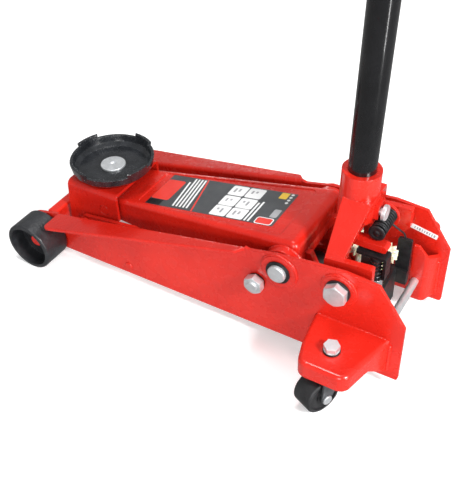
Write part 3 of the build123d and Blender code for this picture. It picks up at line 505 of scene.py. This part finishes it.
def torsion_spring():
    """The black spring round its pin, with a leg that reaches the post."""
    low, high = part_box("torsion_spring")
    pin_low, pin_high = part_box("spring_pin")
    post_low, post_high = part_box("spring_post")
    axis_x, axis_z = (pin_low.x + pin_high.x) / 2, (pin_low.z + pin_high.z) / 2
    wire = 0.00135
    radius = high.z - axis_z - wire - 0.0002
    near = Vector((axis_x, high.y - wire - 0.0004, axis_z))
    far_y = pin_low.y + EAR_REACH + wire
    far = Vector((axis_x, far_y, axis_z))
    path = coil(near, far, radius, 9.0, wire, lead=2.0, steps=28, dead=1.0)
    last = path[-1]
    post = Vector(((post_low.x + post_high.x) / 2, (post_low.y + post_high.y) / 2, post_high.z - 0.002))
    leg = smooth_path([
        last,
        last + mm(-3, -0.6, -6),
        Vector((low.x + 0.010, last.y - 0.0045, axis_z - 0.024)),
        post + mm(3, 3, 12),
        post + mm(0.5, 0.5, 3.5),
        post,
    ])
    points, faces = sweep(path + leg[1:], wire, 12)
    spring = piece("torsion_spring_coil", points, faces, "black_steel")
    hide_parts("torsion_spring")
    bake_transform(spring)


def pump_spring():
    """The spring that lifts the pump's plunger."""
    low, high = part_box("pump_spring")
    middle = (low + high) / 2
    wire = 0.00115
    ends = (Vector((middle.x, middle.y, low.z + wire)), Vector((middle.x, middle.y, high.z - wire)))
    radius = high.x - middle.x - wire
    points, faces = sweep(coil(*ends, radius, 7.5, wire), wire, 10)
    spring = piece("pump_spring_coil", points, faces, "black_steel")
    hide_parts("pump_spring")
    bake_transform(spring)


def return_springs():
    """The two long springs that draw the ram back."""
    low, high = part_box("return_springs")
    wire = 0.0012
    radius = (high.z - low.z) / 2 - wire
    height = (high.z + low.z) / 2
    both_points, both_faces = [], []
    for side in (1, -1):
        y = side * (high.y - radius - wire)
        path = coil((low.x, y, height), (high.x, y, height), radius, 46, wire, steps=14)
        points, faces = sweep(path, wire, 8)
        both_faces += [tuple(k + len(both_points) for k in face) for face in faces]
        both_points += points
    springs = piece("return_spring_coils", both_points, both_faces, "black_steel")
    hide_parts("return_springs")
    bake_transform(springs)


torsion_spring()
pump_spring()
return_springs()


# ---- grip -----------------------------------------------------------------
# one finger ring: share of the pitch along the grip, and share of the grip's radius
FINGER_RING = ((0, 0.90), (0.18, 0.90), (0.34, 0.975), (0.5, 0.992), (0.68, 0.975), (0.86, 0.90))


def handle_grip():
    """A moulded rubber grip with a row of finger rings and a domed cap."""
    low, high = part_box("handle_grip")
    along = (centre("upper_handle") - centre("lower_handle")).normalized()
    length = (high.z - low.z) / along.z * 0.985
    radius = (high.y - low.y) / 2
    middle = (low + high) / 2
    start = middle - along * length / 2
    profile = [(0.0, radius * 0.84), (0.0006, radius * 0.93), (0.002, radius * 0.98), (0.008, radius * 0.98)]
    rings, ring_start, ring_end = 17, 0.014, length - 0.018
    pitch = (ring_end - ring_start) / rings
    for i in range(rings):
        base = ring_start + i * pitch
        profile += [(base + pitch * part, radius * size) for part, size in FINGER_RING]
    profile += [
        (ring_end + 0.001, radius * 0.90),
        (ring_end + 0.004, radius * 0.99),
        (length - 0.006, radius * 0.99),
        (length - 0.0025, radius * 0.94),
        (length - 0.0006, radius * 0.8),
        (length, radius * 0.5),
        (length, radius * 0.08),
    ]
    points, faces = lathe(start, along, profile)
    grip = piece("ribbed_grip", points, faces, "rubber", "handle")
    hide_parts("handle_grip")


handle_grip()


# ---- welds ----------------------------------------------------------------
SIDES = ((1, "left"), (-1, "right"))
PLATE_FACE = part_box("caster_bracket_left")[0].y


def boss_welds():
    """The beads that join the round bosses to the side plates."""
    for node, radius in (("arm_pivot_shaft", 0.0262), ("handle_pivot_bolts", 0.0242)):
        hub = centre(node)
        for side, word in SIDES:
            path = circle_y(hub.x, side * (PLATE_FACE + 0.0003), hub.z, radius)
            weld(f"{node}_weld_{word}", path, 0.0015, "chassis", closed=True, seed=3 + side)


def bracket_welds():
    """Beads along the caster brackets, on the side plates and down their rear walls."""
    for side, word in SIDES:
        low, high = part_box(f"caster_bracket_{word}")
        y = side * (PLATE_FACE + 0.0004)
        top, rear = high.z - 0.0006, low.x - 0.0004
        along = line((high.x - 0.004, y, top), (low.x + 0.006, y, top))
        weld(f"bracket_top_weld_{word}", along, 0.0014, "chassis", seed=11)
        down = line((rear, y, high.z - 0.008), (rear, y, low.z + 0.004))
        weld(f"bracket_rear_weld_{word}", down, 0.0024, "chassis", seed=12)


def gusset_welds():
    """Uneven beads down the rear gussets, inside the side plates."""
    low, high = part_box("rear_gussets")
    for side, word in SIDES:
        x, y = low.x + 0.001, side * (high.y - 0.0012)
        down = line((x, y, high.z - 0.036), (x, y, low.z + 0.003))
        weld(f"gusset_weld_{word}", down, 0.0023, "chassis", seed=21)


def collar_welds():
    """Beads between the arm's sides and its pivot tube."""
    low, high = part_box("arm_pivot_tube")
    hub = (low + high) / 2
    collar = (high.z - low.z) / 2
    for side, word in SIDES:
        path = circle_y(hub.x, side * (high.y - 0.0110), hub.z, collar - 0.0006)
        weld(f"collar_weld_{word}", path, 0.0017, "lift_arm", closed=True, seed=31)


boss_welds()
bracket_welds()
gusset_welds()
collar_welds()


# ---- label ----------------------------------------------------------------
def rounded(x0, x1, y0, y1, radius, steps=5):
    """Corner points of a rounded rectangle, counter-clockwise."""
    points = []
    left, right, low, high = x0 + radius, x1 - radius, y0 + radius, y1 - radius
    for cx, cy, start in ((right, high, 0), (left, high, 90), (left, low, 180), (right, low, 270)):
        for k in range(steps + 1):
            angle = math.radians(start + 90 * k / steps)
            points.append((cx + radius * math.cos(angle), cy + radius * math.sin(angle)))
    return points


ARM_TOP = nodes["lift_arm"]
FILM_LIFT, LAYER_LIFT, FILM_SINK = 0.00012, 0.00006, 0.0001


def on_arm(x, y, lift):
    """The point on the arm's top face under x, y, raised by lift."""
    _, place, normal, _ = ARM_TOP.ray_cast(Vector((x, y, 0.4)), Vector((0, 0, -1)))
    return place + normal * lift


def film(name, outline, look, layer):
    """A thin printed patch on the arm's top: outline is in metres along X and Y."""
    lift = FILM_LIFT + LAYER_LIFT * layer
    top = [on_arm(x, y, lift) for x, y in outline]
    bottom = [point - Vector((0, 0, FILM_SINK + lift)) for point in top]
    count = len(top)
    faces = [tuple(range(count))]
    for j in range(count):
        before = (j + count - 1) % count
        faces.append((j, before, before + count, j + count))
    return piece(name, top + bottom, faces, "label_white", "lift_arm", look, smooth=False)


def slanted(x_far, x_near, y_far, y_near, width):
    """A bar that leans across the label."""
    half = width / 2
    return [
        (x_far + half, y_far),
        (x_near + half, y_near),
        (x_near - half, y_near),
        (x_far - half, y_far),
    ]


# the label's layout is in millimetres from its front edge; across the arm it is a little narrowed
NARROW = 0.93
ACROSS = MM * NARROW
LABEL_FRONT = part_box("lift_arm")[1].x - 0.0864
LABEL_LENGTH, LABEL_HALF = 0.2173, 0.0434 * NARROW


def box_at(x0, x1, y0, y1, radius=0.0004):
    """A rounded box on the label, from x0 to x1 behind its front edge."""
    return rounded(LABEL_FRONT - x1 * MM, LABEL_FRONT - x0 * MM, y0 * ACROSS, y1 * ACROSS, radius)


def label_bars():
    """Five leaning bars, and the thin red line beside them."""
    for k in range(5):
        x_far = LABEL_FRONT - (38 + 5.7 * k) * MM
        x_near = LABEL_FRONT - (48 + 6.1 * k) * MM
        y_far = (-41 if k else -30) * ACROSS
        film(f"label_bar_{k}", slanted(x_far, x_near, y_far, 38 * ACROSS, 0.0030), "label_print", 1)
    edge = LABEL_HALF - 0.0004
    red_line = slanted(LABEL_FRONT - 0.0645, LABEL_FRONT - 0.0835, -edge, edge, 0.0026)
    film("label_red_line", red_line, "label_red", 1)


def label_tiles():
    """Six blank tiles, each with two plain marks."""
    for column, x0 in enumerate((112.5, 141.0)):
        for row, y0 in enumerate((-41.0, -12.4, 15.0)):
            tile = box_at(x0, x0 + 26.6, y0, y0 + 26.2, 0.003)
            film(f"label_tile_{column}_{row}", tile, "label_print", 1)
            for k in range(2):
                start, top = x0 + 6 + 7 * k, y0 + 18 - 3 * ((row + column + k) % 3)
                mark = box_at(start, start + 3.5, y0 + 7, top, 0.0008)
                film(f"label_mark_{column}_{row}_{k}", mark, "label_grey", 2)


def arm_label():
    """A generic label: a charcoal ground with blank tiles, bars and blocks."""
    ground = rounded(LABEL_FRONT - LABEL_LENGTH, LABEL_FRONT, -LABEL_HALF, LABEL_HALF, 0.0015)
    film("label_ground", ground, "label_charcoal", 0)
    film("label_red_block", box_at(0.4, 32, -29, 27, 0.004), "label_red", 1)
    film("label_black_block", box_at(0.4, 25.5, 28, 42.5), "label_black", 1)
    label_bars()
    label_tiles()
    film("label_stripe_a", box_at(170.2, 173.2, -7, 41), "label_print", 1)
    film("label_stripe_b", box_at(176.0, 179.0, -11, 41), "label_print", 1)
    film("label_corner_edge", box_at(186.5, 213.5, 25.5, 42.5, 0.004), "label_print", 1)
    film("label_corner_block", box_at(188.0, 212.0, 27.0, 41.0, 0.003), "label_red", 2)
    film("label_side_block", box_at(202, 213, 2, 23, 0.002), "label_grey", 1)
    film("label_yellow_block", box_at(192.5, 205, -42, -26, 0.0012), "label_yellow", 1)
    for k in range(4):
        dot = box_at(207.5, 212.5, -42 + 7.4 * k, -37 + 7.4 * k, 0.00249)
        film(f"label_dot_{k}", dot, "label_print", 1)


arm_label()


SERIAL_TILT = math.radians(11.6)
SERIAL_START, SERIAL_PITCH = -0.0155, 0.0037
SERIAL_NARROW, SERIAL_WIDE, SERIAL_HALF = 0.0007, 0.0012, 0.0022


def plate_label():
    """Plain bars on the blank serial label."""
    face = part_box("serial_label")[1].y
    middle = centre("serial_label")
    for k in range(9):
        along = SERIAL_START + SERIAL_PITCH * k
        half = SERIAL_NARROW if k % 3 else SERIAL_WIDE
        outline = [
            (along - half, -SERIAL_HALF),
            (along + half, -SERIAL_HALF),
            (along + half, SERIAL_HALF),
            (along - half, SERIAL_HALF),
        ]
        points = []
        for depth in (0.00008, -0.0001):
            for a, b in outline:
                x = a * math.cos(SERIAL_TILT) - b * math.sin(SERIAL_TILT)
                z = a * math.sin(SERIAL_TILT) + b * math.cos(SERIAL_TILT)
                points.append(Vector((middle.x + x, face + depth, middle.z + z)))
        faces = [(0, 1, 2, 3)] + [(j, j + 4, (j + 1) % 4 + 4, (j + 1) % 4) for j in range(4)]
        name = f"serial_bar_{k}"
        piece(name, points, faces, "label_white", "chassis", "label_grey", smooth=False)


plate_label()


# ---- small hardware -------------------------------------------------------
FOOT_BOSS = 0.007


def set_screw():
    """The small socket screw in the handle's left foot."""
    pivot = centre("handle_pivot_bolts")
    foot_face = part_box("handle_socket")[1].y - FOOT_BOSS
    place = Vector((pivot.x - 0.0095, foot_face - 0.0001, pivot.z + 0.017))
    profile = [
        (-0.0005, 0.0040),
        (0.0009, 0.0040),
        (0.0013, 0.0036),
        (0.0013, 0.0021),
        (0.0002, 0.0019),
        (0.0002, 0.0002),
    ]
    points, faces = lathe(place, (0, 1, 0), profile, 24)
    piece("foot_set_screw", points, faces, "black_steel", "handle_socket")


def spring_head():
    """The recessed end of the spring pin."""
    low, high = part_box("spring_pin")
    middle = (low + high) / 2
    radius = (high.z - low.z) / 2
    profile = [
        (-0.0022, radius * 1.02),
        (-0.0010, radius * 1.22),
        (-0.0002, radius * 1.22),
        (0.0004, radius * 1.05),
        (0.0006, radius * 0.72),
        (0.0001, radius * 0.66),
        (0.0001, radius * 0.4),
        (0.0006, radius * 0.36),
        (0.0006, radius * 0.03),
    ]
    points, faces = lathe(Vector((middle.x, high.y, middle.z)), (0, 1, 0), profile, 36)
    piece("spring_pin_end", points, faces, "black_steel", "handle_socket")


set_screw()
spring_head()


# ---- floor, world and lights ----------------------------------------------
FLOOR_HALF, FLOOR_DROP = 6.0, 0.0002


def make_floor():
    """A plain pale studio floor."""
    mesh = bpy.data.meshes.new("floor")
    signs = ((-1, -1), (1, -1), (1, 1), (-1, 1))
    corners = [(FLOOR_HALF * x, FLOOR_HALF * y, -FLOOR_DROP) for x, y in signs]
    mesh.from_pydata(corners, [], [(0, 1, 2, 3)])
    floor = bpy.data.objects.new("floor", mesh)
    bpy.context.scene.collection.objects.link(floor)
    s = Shader("floor_paper")
    s.set(Base_Color=(0.90, 0.90, 0.90), Roughness=0.9, Specular_IOR_Level=0.0)
    s.set(Emission_Color=(1.0, 1.0, 1.0), Emission_Strength=0.3)
    mesh.materials.append(s.done())
    floor.visible_glossy = False


def make_world(strength):
    """Even white light from all round."""
    world = bpy.data.worlds.new("studio")
    world.use_nodes = True
    background = world.node_tree.nodes["Background"]
    background.inputs["Color"].default_value = (1, 1, 1, 1)
    background.inputs["Strength"].default_value = strength
    bpy.context.scene.world = world


def area_light(name, place, size, power, target=(0, 0, 0.1)):
    """A soft box facing the target, which the camera doesn't see."""
    data = bpy.data.lights.new(name, "AREA")
    data.shape = "RECTANGLE"
    data.size, data.size_y = size
    data.energy = power
    light = bpy.data.objects.new(name, data)
    light.location = place
    light.visible_camera = False
    light.rotation_mode = "QUATERNION"
    light.rotation_quaternion = (Vector(target) - Vector(place)).to_track_quat("-Z", "Y")
    bpy.context.scene.collection.objects.link(light)


make_floor()
make_world(0.29)
area_light("key_light", (-2.35, 0.60, 1.85), (0.45, 0.45), 78)
area_light("side_light", (-0.7, 2.9, 1.2), (1.1, 0.9), 34)
area_light("top_light", (0.3, -0.3, 3.0), (1.1, 0.8), 42)
area_light("edge_light", (-0.9, 2.2, 2.2), (1.5, 0.10), 9)
area_light("far_light", (1.5, -2.7, 0.9), (1.6, 0.12), 7)
area_light("handle_light", (-0.95, 0.32, 0.60), (0.07, 1.2), 4.5, target=(-0.21, 0, 0.60))
bpy.context.scene.view_settings.view_transform = "Standard"
